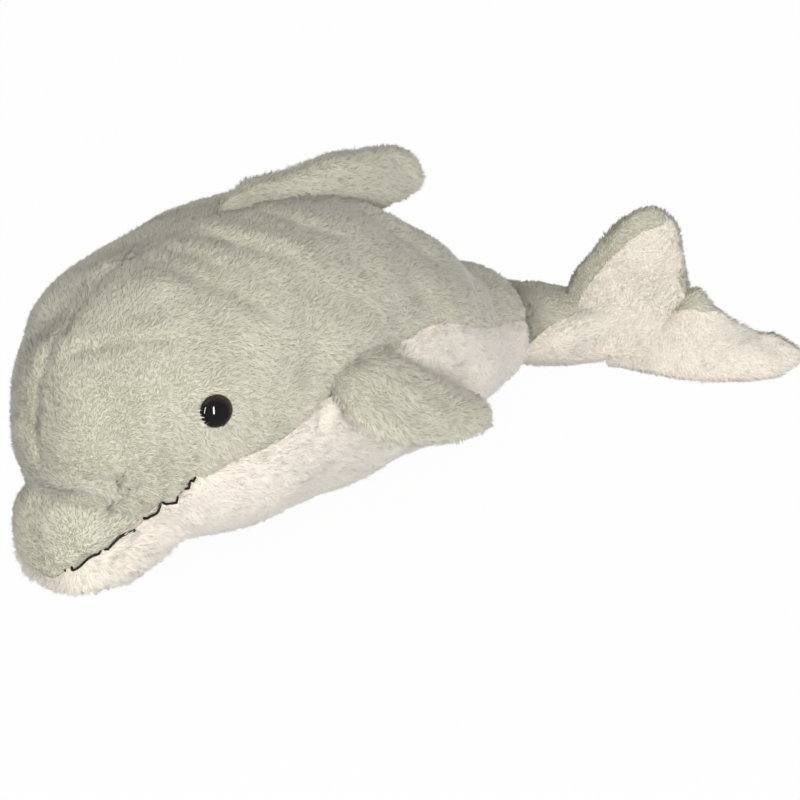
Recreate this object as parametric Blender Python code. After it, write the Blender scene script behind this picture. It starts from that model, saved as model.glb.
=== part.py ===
"""A stuffed plush dolphin lying on its belly, with its tail rolled and bent to its left.

Metres, +Z up, floor at z = 0. The head points to -X, the tail to +X, the dolphin's left is -Y.
The origin is on the flat of the belly.
"""
import math

import bmesh
import bpy
from mathutils import Vector

CM = 0.01

# sizes of the whole toy
BODY_LENGTH = 0.540       # forehead to the end of the tail's stem, along X before it bends
BODY_WIDTH = 0.186
BODY_HEIGHT = 0.198
BEAK_LENGTH = 0.110
BEAK_WIDTH = 0.104
BEAK_HEIGHT = 0.078
FIN_LENGTH = 0.160
FIN_HEIGHT = 0.036
FIN_PAD = 0.026
FLIPPER_LENGTH = 0.122
FLIPPER_DROP = 0.055
FLIPPER_PAD = 0.023
FLUKE_RISE = 0.127        # top of the standing fluke over the floor
FLUKE_REACH = 0.176       # tip of the lying fluke from the tail's root
FLUKE_PAD = 0.026

# cloth, clearances and small pieces
FABRIC = 0.0026           # plush cloth and its backing
SEAM = 0.0003             # between two sewn edges, and between cloth and filling
SEAT = 0.0003             # between a padded piece and the one it is sewn on
EYE_DIAMETER = 0.0200
EYE_RISE = 0.0075
SHANK_DIAMETER = 0.0050
SHANK_LENGTH = 0.0110
WASHER_DIAMETER = 0.0150
WASHER_THICKNESS = 0.0016
WASHER_CLEAR = 0.0016     # washer behind the cloth, which curves away from it
THREAD = 0.0016

# where things sit on the body: (row, angle); angle 0 is the left flank, 90 the back
EYE_AT = (3.95, 13.0)
FIN_AT = 7.0
FLIPPER_AT = (6.25, 0.0)
BELLY_FROM = 2.55         # the belly cloth starts under the beak
TAIL_AT = 14.5
JAW_FROM = 0.90           # row of the beak where the jaw's cloth starts, under the tip
MOUTH_FROM, MOUTH_TO = 0.95, 4.6        # rows of the beak that the mouth's thread covers
CHEEK_FROM, CHEEK_TO = 3.15, 3.62      # rows of the body that it covers

# the pattern, in centimetres as drawn for a body 54 long, 18.6 wide and 19.8 high:
# x, y, turn to the left, roll, half width, height, lowest point, angle of the side seam
DRAWN = (54.0, 18.6, 19.8)
BODY = [
    (-18.0, 0.0, 0, 0, 0.0, 0.0, 8.8, -90),
    (-17.7, 0.0, 0, 0, 2.5, 5.8, 6.1, -90),
    (-16.4, 0.0, 0, 0, 4.4, 11.2, 3.9, -86),
    (-13.8, 0.0, 0, 0, 6.3, 15.4, 2.2, -44),
    (-10.2, 0.0, 0, 1, 8.0, 18.5, 0.7, -16),
    (-5.6, 0.0, 0, 3, 9.0, 20.0, 0.0, -10),
    (-0.8, 0.0, 0, 5, 9.2, 20.4, -0.3, -1),
    (4.4, 0.0, 0, 7, 8.8, 19.5, -0.4, 6),
    (9.5, 0.2, 0, 11, 8.1, 17.3, -0.4, 12),
    (14.2, 0.5, 0, 16, 6.9, 13.9, -0.3, 10),
    (18.2, 0.9, 0, 22, 5.5, 10.6, -0.2, 0),
    (21.7, 1.4, 0, 28, 4.9, 8.3, 0.1, -12),
    (23.5, 1.8, 8, 34, 3.1, 6.3, 0.5, -36),
    (25.2, 1.7, 24, 40, 2.7, 5.9, 0.4, -40),
    (27.4, -0.1, 42, 52, 2.9, 5.8, 0.1, -30),
    (29.8, -3.1, 47, 68, 2.8, 4.2, 0.2, -10),
    (32.0, -5.7, 48, 82, 2.1, 1.9, 1.2, -2),
]

# x from the tip backwards, half width, underside, top, height of the mouth seam
BEAK = [
    (0.0, 0.0, 3.0, 3.0, 1.2),
    (0.3, 1.8, 1.0, 4.9, 1.5),
    (1.0, 2.9, -0.1, 6.0, 2.0),
    (2.2, 3.8, -0.6, 6.8, 3.0),
    (3.8, 4.4, -0.7, 7.3, 3.8),
    (5.8, 4.9, -0.3, 7.6, 4.6),
    (8.0, 5.2, 0.6, 7.8, 4.5),
    (9.8, 4.6, 2.2, 7.6, 4.8),
    (11.0, 3.0, 3.4, 7.0, 5.0),
]
BEAK_TIP_X = -18.8

# padded pieces, root to tip, as (front edge), (back edge): along, out and sideways
FIN = [
    ((-7.6, -2.0, 0.1), (5.4, -2.8, -0.2)),
    ((-6.6, -0.4, 0.0), (6.6, -1.4, -0.4)),
    ((-3.2, 1.0, -0.3), (8.6, -0.6, -0.6)),
    ((1.8, 2.3, -0.6), (10.2, -0.2, -0.8)),
    ((6.6, 3.3, -0.8), (11.2, 0.4, -0.9)),
    ((9.8, 3.4, -0.9), (12.0, 1.2, -1.0)),
]
FLIPPER = [
    ((-2.6, -1.4, 0.4), (2.6, -1.8, 1.2)),
    ((-2.7, 0.0, -0.7), (3.2, -0.3, 0.6)),
    ((-1.9, 1.4, -2.6), (4.9, 0.4, -1.0)),
    ((0.6, 2.2, -4.3), (6.8, 1.0, -2.4)),
    ((4.2, 2.5, -5.3), (8.4, 1.5, -3.7)),
    ((8.0, 2.4, -6.0), (9.6, 2.0, -4.9)),
]
# along the tail, up from the floor, towards the belly's side
FLUKE_STANDING = [
    ((-1.4, 1.8, 0.2), (7.0, 1.4, 0.9)),
    ((-1.1, 4.2, 0.1), (7.9, 4.2, 1.0)),
    ((-0.2, 7.2, 0.2), (7.8, 7.6, 0.9)),
    ((1.6, 10.0, 0.4), (7.2, 10.2, 0.8)),
    ((3.5, 12.5, 0.6), (6.6, 12.2, 0.7)),
]
FLUKE_LYING = [
    ((2.4, 0.1, 0.9), (6.6, 3.6, 0.5)),
    ((6.2, 0.0, 2.8), (8.3, 6.1, 0.7)),
    ((10.0, 0.1, 3.8), (10.2, 5.1, 1.0)),
    ((13.4, 0.2, 3.5), (13.2, 3.4, 1.2)),
    ((16.9, 0.5, 2.3), (16.6, 2.2, 1.3)),
]

GREY = (0.50, 0.47, 0.38)
CREAM = (0.80, 0.72, 0.62)
COLOURS = {
    "grey_plush": (GREY, 0.95),
    "cream_plush": (CREAM, 0.95),
    "filling": ((0.85, 0.85, 0.83), 1.0),
    "eye": ((0.02, 0.012, 0.008), 0.08),
    "washer": ((0.75, 0.75, 0.72), 0.5),
    "thread": ((0.01, 0.01, 0.01), 0.8),
}

BODY_RINGS = 34
BEAK_RINGS = 13
PAD_RINGS = 8


def read(rows, t):
    """Every column of the rows at place t, on a smooth curve through them."""
    last = len(rows) - 1
    t = min(max(t, 0.0), float(last))
    i = min(int(t), last - 1)
    f = t - i
    out = []
    for k in range(len(rows[0])):
        a, b = rows[i][k], rows[i + 1][k]
        before = rows[i - 1][k] if i > 0 else 2 * a - b
        after = rows[i + 2][k] if i + 2 <= last else 2 * b - a
        da, db = (b - before) / 2, (after - a) / 2
        out.append((2 * f**3 - 3 * f**2 + 1) * a + (f**3 - 2 * f**2 + f) * da
                   + (3 * f**2 - 2 * f**3) * b + (f**3 - f**2) * db)
    return out


def spine(t):
    """Section values in metres, the two pattern scales applied."""
    x, y, turn, roll, half, height, low, seam = read(BODY, t)
    long = BODY_LENGTH / DRAWN[0]
    half = max(half, 0.0) * BODY_WIDTH / DRAWN[1]
    rise = max(height, 0.0) / 2 * BODY_HEIGHT / DRAWN[2]
    low = low * BODY_HEIGHT / DRAWN[2]
    return x * long, y * long, math.radians(turn), math.radians(roll), half, rise, low, seam


def body_point(t, angle, keep=0):
    """A point of the body's skin. keep is 1 or -1 where a back panel stays on its side."""
    x, y, turn, roll, half, rise, low, _ = spine(t)
    a = math.radians(angle)
    across = half * math.cos(a)
    if keep:
        across = keep * max(keep * across, SEAM / 2)
    over = rise * math.sin(a)
    side = across * math.cos(roll) - over * math.sin(roll)
    up = across * math.sin(roll) + over * math.cos(roll)
    middle = low + math.hypot(half * math.sin(roll), rise * math.cos(roll))
    return Vector((x - side * math.sin(turn), y - side * math.cos(turn), max(middle + up, 0.0)))


def side_seam(t):
    """Angle of the left side seam, and half the seam's clearance as an angle."""
    _, _, _, _, half, rise, _, seam = spine(t)
    return seam, math.degrees(SEAM / 2 / max((half + rise) / 2, 0.01))


def beak_section(t):
    x, half, low, top, mouth = read(BEAK, t)
    tip = BEAK_TIP_X * BODY_LENGTH / DRAWN[0]
    x = tip + x * BEAK_LENGTH / 11.0
    half = max(half, 0.0) * BEAK_WIDTH / 10.4
    tall = BEAK_HEIGHT / 7.8
    return x, half, low * tall, max(top, low) * tall, mouth * tall


def beak_point(t, angle, keep=0):
    x, half, low, top, _ = beak_section(t)
    a = math.radians(angle)
    rise = (top - low) / 2
    return Vector((x, -half * math.cos(a), max((top + low) / 2 + rise * math.sin(a), 0.0)))


def mouth_seam(t):
    """Angle of the mouth's seam on the beak's left side, straight down before the jaw starts."""
    _, half, low, top, mouth = beak_section(t)
    rise = max((top - low) / 2, 1e-6)
    share = (mouth - (top + low) / 2) / rise
    angle = math.degrees(math.asin(min(max(share, -1.0), 0.98))) if t >= JAW_FROM else -90.0
    return angle, math.degrees(SEAM / 2 / max((half + rise) / 2, 0.01))


def frame_on_body(t, angle):
    """Origin on the skin, with the directions backwards, outwards and across."""
    here = body_point(t, angle)
    back = (body_point(t + 0.01, angle) - body_point(t - 0.01, angle)).normalized()
    up = body_point(t, angle + 1) - body_point(t, angle - 1)
    out = back.cross(up).normalized()
    return here, back, out, out.cross(back)


def pad_surface(rows, frame, scale, pad, mirror=1, floor=None):
    """A padded leaf between a front and a back edge, closed round at its tip."""
    origin, along, out, side = frame
    last = len(rows) - 1
    flat = [tuple(front) + tuple(back) for front, back in rows]

    def place(values):
        a, o, s = (v * k * CM for v, k in zip(values, scale))
        return origin + along * a + out * o + side * (s * mirror)

    def at(t):
        values = read(flat, t)
        return place(values[:3]), place(values[3:])

    def point(t, angle, keep=0):
        front, back = at(t)
        middle = (front + back) / 2
        chord = back - front
        f2, b2 = at(min(t + 0.05, last))
        f1, b1 = at(max(t - 0.05, 0.0))
        span = (f2 + b2) / 2 - (f1 + b1) / 2
        thick = chord.cross(span).normalized()
        start = last - 0.9
        close = math.sqrt(max(1 - ((t - start) / (last - start)) ** 2, 0.0)) if t > start else 1.0
        swell = 0.78 + 0.22 * math.sin(math.pi * min(t / last, 1.0))
        a = math.radians(angle)
        lift = math.copysign(abs(math.sin(a)) ** 0.7, math.sin(a))
        p = middle + chord / 2 * (close * math.cos(a)) + thick * (pad / 2 * swell * close * lift)
        if floor is not None:
            p.z = max(p.z, floor)
        return p

    return point


def body_scale():
    """How much longer, wider and taller the body is than the one drawn."""
    return [size / (drawn * CM)
            for size, drawn in zip((BODY_LENGTH, BODY_WIDTH, BODY_HEIGHT), DRAWN)]


def outward(surface, t, angle, last, tip):
    """Unit normal of a surface; a pole takes the direction from its nearest ring's middle."""
    if tip and t >= last - 1e-6:
        ring = (surface(last - 0.03, 0) + surface(last - 0.03, 180)) / 2
        return (surface(last, 0) - ring).normalized()
    if tip is False and t <= 1e-6:
        ring = (surface(0.03, 90) + surface(0.03, -90)) / 2
        return (surface(0.0, 0) - ring).normalized()
    e = 0.012
    du = surface(min(t + e, last - (1e-3 if tip else 0)), angle) - surface(max(t - e, 1e-3), angle)
    dv = surface(t, angle + 0.6) - surface(t, angle - 0.6)
    return du.cross(dv).normalized()


def between(lo, hi, count):
    return [lo + (hi - lo) * j / count for j in range(count + 1)]


def skin(surface, steps, angles, depth, last, tip, keep=0):
    """Points of a surface sunk by depth, ring by ring."""
    rings = []
    for t in steps:
        ring = []
        for angle in angles(t):
            at = surface(t, angle, keep)
            ring.append(at - outward(surface, t, angle, last, tip) * depth)
        rings.append(ring)
    return rings


def add_ring_faces(bm, rings, flip, closed):
    count = len(rings[0])
    for a, b in zip(rings, rings[1:]):
        for j in range(count if closed else count - 1):
            k = (j + 1) % count
            corners = (a[j], b[j], b[k], a[k])
            for tri in ((0, 1, 2), (0, 2, 3)):
                face = [corners[i] for i in tri]
                bm.faces.new(face[::-1] if flip else face)


def finish(name, bm, colour, parent):
    bmesh.ops.remove_doubles(bm, verts=bm.verts, dist=1e-6)
    bmesh.ops.dissolve_degenerate(bm, dist=1e-6, edges=bm.edges)
    mesh = bpy.data.meshes.new(name)
    bm.to_mesh(mesh)
    bm.free()
    mesh.shade_smooth()
    mesh.set_sharp_from_angle(angle=math.radians(40))
    obj = bpy.data.objects.new(name, mesh)
    bpy.context.scene.collection.objects.link(obj)
    obj.parent = parent
    if colour:
        mesh.materials.append(MATERIALS[colour])
    return obj


def cloth_panel(name, surface, steps, angles, colour, parent, last, tip, keep=0):
    """One cut of cloth: an outer and an inner skin with a rim round them."""
    across = len(angles(steps[0])) - 1
    outer = skin(surface, steps, angles, 0.0, last, tip, keep)
    inner = skin(surface, steps, angles, FABRIC, last, tip, keep)
    bm = bmesh.new()
    outer = [[bm.verts.new(p) for p in ring] for ring in outer]
    inner = [[bm.verts.new(p) for p in ring] for ring in inner]
    add_ring_faces(bm, outer, False, False)
    add_ring_faces(bm, inner, True, False)
    rim = [(outer[i][0], inner[i][0]) for i in range(len(steps))]
    rim += [(outer[-1][j], inner[-1][j]) for j in range(1, across + 1)]
    rim += [(outer[i][-1], inner[i][-1]) for i in range(len(steps) - 2, -1, -1)]
    rim += [(outer[0][j], inner[0][j]) for j in range(across - 1, 0, -1)]
    turn = len(steps) + across - 1
    for k, ((a, b), (c, d)) in enumerate(zip(rim, rim[1:] + rim[:1])):
        homeward = turn <= k < turn + len(steps) - 1
        for face in ((a, b, d), (a, d, c)) if homeward else ((a, b, c), (c, b, d)):
            bm.faces.new(face)
    return finish(name, bm, colour, parent)


def solid_form(name, surface, steps, angles, depth, colour, parent, last, tip):
    """A closed form sunk (or, below zero, swollen) from a surface, its open ends capped flat.

    It has the facets of the panels over it, so that the clearance is the same all over.
    """
    around = len(angles(steps[0]))
    bm = bmesh.new()
    rings = [[bm.verts.new(p) for p in ring]
             for ring in skin(surface, steps, angles, depth, last, tip)]
    add_ring_faces(bm, rings, False, True)
    for ring, flip in ((rings[0], False), (rings[-1], True)):
        if (ring[0].co - ring[around // 2].co).length < 1e-5:
            continue
        middle = bm.verts.new(sum((v.co for v in ring), Vector()) / around)
        for j in range(around):
            tri = (middle, ring[j], ring[(j + 1) % around])
            bm.faces.new(tri[::-1] if flip else tri)
    return finish(name, bm, colour, parent)


def spread(first, last, count):
    return [first + (last - first) * i / (count - 1) for i in range(count)]


def as_cutter(obj):
    obj.hide_render = True
    obj.display_type = "WIRE"
    return obj


def cut(obj, cutter):
    seat = obj.modifiers.new(cutter.name, "BOOLEAN")
    seat.operation = "DIFFERENCE"
    seat.object = cutter
    seat.use_self = True
    return obj


def turned(name, profile, around, frame, colour, parent):
    """A round piece: (radius, height) pairs turned about the frame's outward direction."""
    origin, along, out, side = frame
    bm = bmesh.new()
    rings = []
    for radius, height in profile:
        ring = []
        for j in range(around):
            a = 2 * math.pi * j / around
            spoke = along * math.cos(a) + side * math.sin(a)
            ring.append(bm.verts.new(origin + out * height + spoke * radius))
        rings.append(ring)
    add_ring_faces(bm, rings, False, True)
    if profile[0] == profile[-1]:
        bmesh.ops.remove_doubles(bm, verts=bm.verts, dist=1e-6)
    else:
        bm.faces.new(rings[0])
        bm.faces.new(rings[-1])
    bmesh.ops.recalc_face_normals(bm, faces=bm.faces)
    bmesh.ops.triangulate(bm, faces=bm.faces)
    return finish(name, bm, colour, parent)


def thread_along(name, path, radius, sides, parent):
    """A round thread through the points of a path, each with the skin's normal."""
    bm = bmesh.new()
    rings = []
    for i, (at, normal) in enumerate(path):
        ahead = path[min(i + 1, len(path) - 1)][0] - path[max(i - 1, 0)][0]
        ahead.normalize()
        across = ahead.cross(normal).normalized()
        up = across.cross(ahead)
        ring = []
        for j in range(sides):
            a = 2 * math.pi * j / sides
            ring.append(bm.verts.new(at + (across * math.cos(a) + up * math.sin(a)) * radius))
        rings.append(ring)
    add_ring_faces(bm, rings, False, True)
    bm.faces.new(rings[0])
    bm.faces.new(rings[-1])
    bmesh.ops.recalc_face_normals(bm, faces=bm.faces)
    bmesh.ops.triangulate(bm, faces=bm.faces)
    return finish(name, bm, "thread", parent)


def make_materials():
    made = {}
    for name, (colour, roughness) in COLOURS.items():
        mat = bpy.data.materials.new(name)
        mat.use_nodes = True
        shader = mat.node_tree.nodes["Principled BSDF"]
        shader.inputs["Base Color"].default_value = (*colour, 1.0)
        shader.inputs["Roughness"].default_value = roughness
        shader.inputs["Metallic"].default_value = 0.0
        mat.diffuse_color = (*colour, 1.0)
        made[name] = mat
    return made


def make_body(parent):
    last = len(BODY) - 1
    steps = spread(0.0, last, BODY_RINGS)
    belly_steps = [BELLY_FROM] + [t for t in steps if t > BELLY_FROM + 0.15]
    back_steps = sorted(set([t for t in steps if abs(t - BELLY_FROM) > 0.15] + [BELLY_FROM]))

    def left(t):
        seam, gap = side_seam(t)
        return between(seam + gap if t >= BELLY_FROM else -90.0, 90.0, 9)

    def right(t):
        return [180.0 - angle for angle in left(t)[::-1]]

    def under(t):
        seam, gap = side_seam(t) if t >= BELLY_FROM else (-90.0, 0.0)
        return between(-180.0 - seam + gap, seam - gap, 10)

    def whole(t):
        return left(t)[:-1] + right(t)[:-1] + under(t)[:-1]

    panels = [
        cloth_panel("back_left", body_point, back_steps, left, "grey_plush", parent, last, False,
                    keep=1),
        cloth_panel("back_right", body_point, back_steps, right, "grey_plush", parent, last,
                    False, keep=-1),
        cloth_panel("belly", body_point, belly_steps, under, "cream_plush", parent, last, None),
    ]
    filling = solid_form("body_filling", body_point, back_steps, whole, FABRIC + SEAM, "filling",
                         parent, last, False)
    cutter = as_cutter(solid_form("body_seat", body_point, back_steps, whole, -SEAT, None,
                                  parent, last, False))
    return panels, filling, cutter


def make_beak(parent, body_seat):
    last = len(BEAK) - 1
    steps = spread(0.0, last, BEAK_RINGS)

    def upper(t):
        seam, gap = mouth_seam(t)
        return between(seam + gap, 180.0 - seam - gap, 12)

    def lower(t):
        seam, gap = mouth_seam(t)
        gap = gap if t >= JAW_FROM else 0.0
        return between(-180.0 - seam + gap, seam - gap, 9)

    steps = sorted([t for t in steps if abs(t - JAW_FROM) > 0.15] + [JAW_FROM])
    jaw_steps = [t for t in steps if t >= JAW_FROM]
    top = cloth_panel("beak_top", beak_point, steps, upper, "grey_plush", parent, last, False)
    jaw = cloth_panel("lower_jaw", beak_point, jaw_steps, lower, "cream_plush", parent, last,
                      None)
    filling = solid_form("beak_filling", beak_point, steps,
                         lambda t: upper(t)[:-1] + lower(t)[:-1], FABRIC + SEAM, "filling",
                         parent, last, False)
    for obj in (top, jaw, filling):
        cut(obj, body_seat)


def pad_faces(laps):
    """Angles of a pad's two faces. laps gives how far each edge's seam lies round the rim."""
    back_lap, front_lap = laps
    gap = 1.2
    one = between(-back_lap + gap, 180.0 + front_lap - gap, 8)
    other = between(180.0 + front_lap + gap, 360.0 - back_lap - gap, 8)
    return one, other


def make_pad(name, surface, count, colours, laps, parent, cutters):
    """Two cloth faces and a filling."""
    steps = spread(0.0, count - 1, PAD_RINGS)
    last = count - 1
    one, other = pad_faces(laps)
    made = [
        cloth_panel(name + "_" + colours[0][0], surface, steps, lambda t: one, colours[0][1],
                    parent, last, True),
        cloth_panel(name + "_" + colours[1][0], surface, steps, lambda t: other, colours[1][1],
                    parent, last, True),
        solid_form(name + "_filling", surface, steps, lambda t: one + other, FABRIC + SEAM,
                   "filling", parent, last, True),
    ]
    for obj in made:
        for cutter in cutters:
            cut(obj, cutter)
    return made


def make_eyes(parent, panels, filling):
    """Domed eyes whose shanks pass the cloth and are held by a washer behind it."""
    radius, shank = EYE_DIAMETER / 2, SHANK_DIAMETER / 2
    under = 0.0005
    behind = FABRIC + SEAM
    row, angle = EYE_AT
    for name, at, panel in (("left", angle, panels[0]), ("right", 180.0 - angle, panels[1])):
        frame = frame_on_body(row, at)
        dome = [(shank, -SHANK_LENGTH), (shank, under), (radius * 0.93, under)]
        for i in range(6):
            a = math.pi / 2 * i / 6
            dome.append((radius * math.cos(a), under + 0.0012 + (EYE_RISE - 0.0012) * math.sin(a)))
        dome.append((radius * 0.08, under + EYE_RISE))
        turned("eye_" + name, dome, 18, frame, "eye", parent)
        wide, near = WASHER_DIAMETER / 2, behind + WASHER_CLEAR
        far = near + WASHER_THICKNESS
        bore = shank + SEAM
        washer = [(bore, -far), (wide, -far), (wide, -near), (bore, -near), (bore, -far)]
        turned("eye_washer_" + name, washer, 18, frame, "washer", parent)
        hole = [(bore, -2 * behind), (bore, 2 * behind)]
        cut(panel, as_cutter(turned("eye_hole_" + name, hole, 18, frame, None, parent)))
        deep = SHANK_LENGTH + SEAM
        pocket = [(bore, -deep), (bore, -far - SEAM), (wide + SEAM, -far - SEAM),
                  (wide + SEAM, 2 * behind)]
        cut(filling, as_cutter(turned("eye_pocket_" + name, pocket, 18, frame, None, parent)))


def make_mouth(parent, body_seat):
    """Black thread over the mouth's seam, round the beak and up each cheek."""
    radius = THREAD / 2
    clear = radius + SEAT
    last = len(BEAK) - 1

    def beak_path(mirror, steps):
        path = []
        for t in steps:
            angle = mouth_seam(t)[0]
            angle = angle if mirror > 0 else 180.0 - angle
            normal = outward(beak_point, t, angle, last, False)
            path.append((beak_point(t, angle) + normal * (clear + 0.0004), normal))
        return path

    steps = spread(MOUTH_FROM, MOUTH_TO, 13)
    front = beak_path(1, steps[::-1]) + beak_path(-1, steps)
    cut(thread_along("mouth_thread_beak", front, radius, 6, parent), body_seat)
    for name, mirror in (("left", 1), ("right", -1)):
        path = []
        for t in spread(CHEEK_FROM, CHEEK_TO, 7):
            angle = side_seam(t)[0]
            angle = angle if mirror > 0 else 180.0 - angle
            normal = outward(body_point, t, angle, len(BODY) - 1, False)
            path.append((body_point(t, angle) + normal * (clear + 0.0006), normal))
        thread_along("mouth_thread_" + name, path, radius, 6, parent)


def make_flippers(parent, body_seat):
    """Left and right flipper, each on its side seam, the right one mirrored."""
    row, angle = FLIPPER_AT
    for name, at, mirror in (("flipper_left", angle, 1), ("flipper_right", 180.0 - angle, -1)):
        here, back, out, across = frame_on_body(row, at)
        scale = (FLIPPER_LENGTH / 0.122, 1.0, FLIPPER_DROP / 0.055)
        surface = pad_surface(FLIPPER, (here, back, out, across), scale, FLIPPER_PAD, mirror)
        faces = (("under", "cream_plush"), ("upper", "grey_plush"))[::mirror]
        make_pad(name, surface, len(FLIPPER), faces, (0, 0), parent, [body_seat])


def make_flukes(parent, body_seat):
    """The left fluke stands behind the belly cloth's side, the right one lies along the floor."""
    x, y, turn, _, _, _, _, _ = spine(TAIL_AT)
    along = Vector((math.cos(turn), -math.sin(turn), 0.0))
    side = Vector((-math.sin(turn), -math.cos(turn), 0.0))
    frame = (Vector((x, y, 0.0)), along, Vector((0.0, 0.0, 1.0)), side)
    faces = (("under", "cream_plush"), ("upper", "grey_plush"))
    long, wide, tall = body_scale()
    rise = (long, FLUKE_RISE / 0.127, wide)
    reach = (FLUKE_REACH / 0.176, tall, long)
    standing = pad_surface(FLUKE_STANDING, frame, rise, FLUKE_PAD, 1, 0.0)
    lying = pad_surface(FLUKE_LYING, frame, reach, FLUKE_PAD, 1, 0.0)
    count = len(FLUKE_STANDING)
    laps = (0, -58)
    one, other = pad_faces(laps)
    seat = as_cutter(solid_form("fluke_seat", standing, spread(0.0, count - 1, PAD_RINGS),
                                lambda t: one + other, -SEAT, None, parent, count - 1, True))
    make_pad("fluke_left", standing, count, faces, laps, parent, [body_seat])
    make_pad("fluke_right", lying, len(FLUKE_LYING), faces[::-1], (58, 0), parent,
             [body_seat, seat])


def main():
    root = bpy.data.objects.new("dolphin", None)
    bpy.context.scene.collection.objects.link(root)
    panels, filling, body_seat = make_body(root)
    make_beak(root, body_seat)

    fin = pad_surface(FIN, frame_on_body(FIN_AT, 90.0),
                      (FIN_LENGTH / 0.16, FIN_HEIGHT / 0.036, 1.0), FIN_PAD)
    make_pad("dorsal_fin", fin, len(FIN), (("left", "grey_plush"), ("right", "grey_plush")),
             (0, 0), root, [body_seat])
    make_eyes(root, panels, filling)
    make_mouth(root, body_seat)
    make_flippers(root, body_seat)
    make_flukes(root, body_seat)


for old in list(bpy.data.objects):
    bpy.data.objects.remove(old, do_unlink=True)
MATERIALS = make_materials()
main()
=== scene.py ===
"""Plush dolphin: sewn covers with a combed pile, domed eyes and a stitched mouth."""

import math

import bpy
import numpy as np
from mathutils import Matrix, Vector, kdtree
from mathutils.bvhtree import BVHTree


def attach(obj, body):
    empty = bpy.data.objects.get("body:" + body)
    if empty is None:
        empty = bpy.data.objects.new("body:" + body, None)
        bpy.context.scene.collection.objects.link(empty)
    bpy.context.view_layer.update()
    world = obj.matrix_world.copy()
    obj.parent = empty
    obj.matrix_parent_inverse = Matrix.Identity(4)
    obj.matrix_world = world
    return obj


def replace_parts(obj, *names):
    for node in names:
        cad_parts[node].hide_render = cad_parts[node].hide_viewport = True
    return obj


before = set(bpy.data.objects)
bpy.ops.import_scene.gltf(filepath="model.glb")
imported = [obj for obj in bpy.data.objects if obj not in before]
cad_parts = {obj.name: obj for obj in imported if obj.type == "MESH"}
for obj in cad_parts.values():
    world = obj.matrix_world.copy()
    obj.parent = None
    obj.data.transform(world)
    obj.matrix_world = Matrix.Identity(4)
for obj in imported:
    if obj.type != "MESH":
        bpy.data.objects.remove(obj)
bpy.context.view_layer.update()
for thing in bpy.context.selected_objects:
    thing.select_set(False)

# camera
TO_CAMERA = Vector((-0.6355, -0.6355, 0.4384)).normalized()
AIM = Vector((0.0793, -0.0447, 0.0502))
RIGHT = Vector((0.7071, -0.7071, 0.0))
UP = TO_CAMERA.cross(RIGHT).normalized()
DISTANCE = 1.5
FOCAL, PICTURE, SENSOR = 2310.0, 800.0, 36.0      # pixels, pixels across, millimetres across

camera = bpy.data.objects.new("camera", bpy.data.cameras.new("camera"))
bpy.context.scene.collection.objects.link(camera)
camera.matrix_world = Matrix.Translation(AIM + TO_CAMERA * DISTANCE) @ Matrix(
    (RIGHT, UP, TO_CAMERA)).transposed().to_4x4()
camera.data.sensor_width = SENSOR
camera.data.lens = FOCAL / PICTURE * SENSOR
camera.data.clip_start, camera.data.clip_end = 0.05, 60.0
bpy.context.scene.camera = camera
bpy.context.scene.view_settings.view_transform = "Standard"

# pattern of the toy, in centimetres
# x, y, turn, roll, half width, height, lowest point, angle of the side seam
BODY = np.array([
    (-18.0, 0.0, 0, 0, 0.0, 0.0, 8.8, -90),
    (-17.7, 0.0, 0, 0, 2.5, 5.8, 6.1, -90),
    (-16.4, 0.0, 0, 0, 4.4, 11.2, 3.9, -86),
    (-13.8, 0.0, 0, 0, 6.3, 15.4, 2.2, -44),
    (-10.2, 0.0, 0, 1, 8.0, 18.5, 0.7, -16),
    (-5.6, 0.0, 0, 3, 9.0, 20.0, 0.0, -10),
    (-0.8, 0.0, 0, 5, 9.2, 20.4, -0.3, -1),
    (4.4, 0.0, 0, 7, 8.8, 19.5, -0.4, 6),
    (9.5, 0.2, 0, 11, 8.1, 17.3, -0.4, 12),
    (14.2, 0.5, 0, 16, 6.9, 13.9, -0.3, 10),
    (18.2, 0.9, 0, 22, 5.5, 10.6, -0.2, 0),
    (21.7, 1.4, 0, 28, 4.9, 8.3, 0.1, -12),
    (23.5, 1.8, 8, 34, 3.1, 6.3, 0.5, -36),
    (25.2, 1.7, 24, 40, 2.7, 5.9, 0.4, -40),
    (27.4, -0.1, 42, 52, 2.9, 5.8, 0.1, -30),
    (29.8, -3.1, 47, 68, 2.8, 4.2, 0.2, -10),
    (32.0, -5.7, 48, 82, 2.1, 1.9, 1.2, -2),
])
# x from the tip, half width, underside, top, height of the mouth's seam
BEAK = np.array([
    (0.0, 0.0, 3.0, 3.0, 1.2),
    (0.3, 1.8, 1.0, 4.9, 1.5),
    (1.0, 2.9, -0.1, 6.0, 2.0),
    (2.2, 3.8, -0.6, 6.8, 3.0),
    (3.8, 4.4, -0.7, 7.3, 3.8),
    (5.8, 4.9, -0.3, 7.6, 4.6),
    (8.0, 5.2, 0.6, 7.8, 4.5),
    (9.8, 4.6, 2.2, 7.6, 4.8),
    (11.0, 3.0, 3.4, 7.0, 5.0),
])
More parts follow.
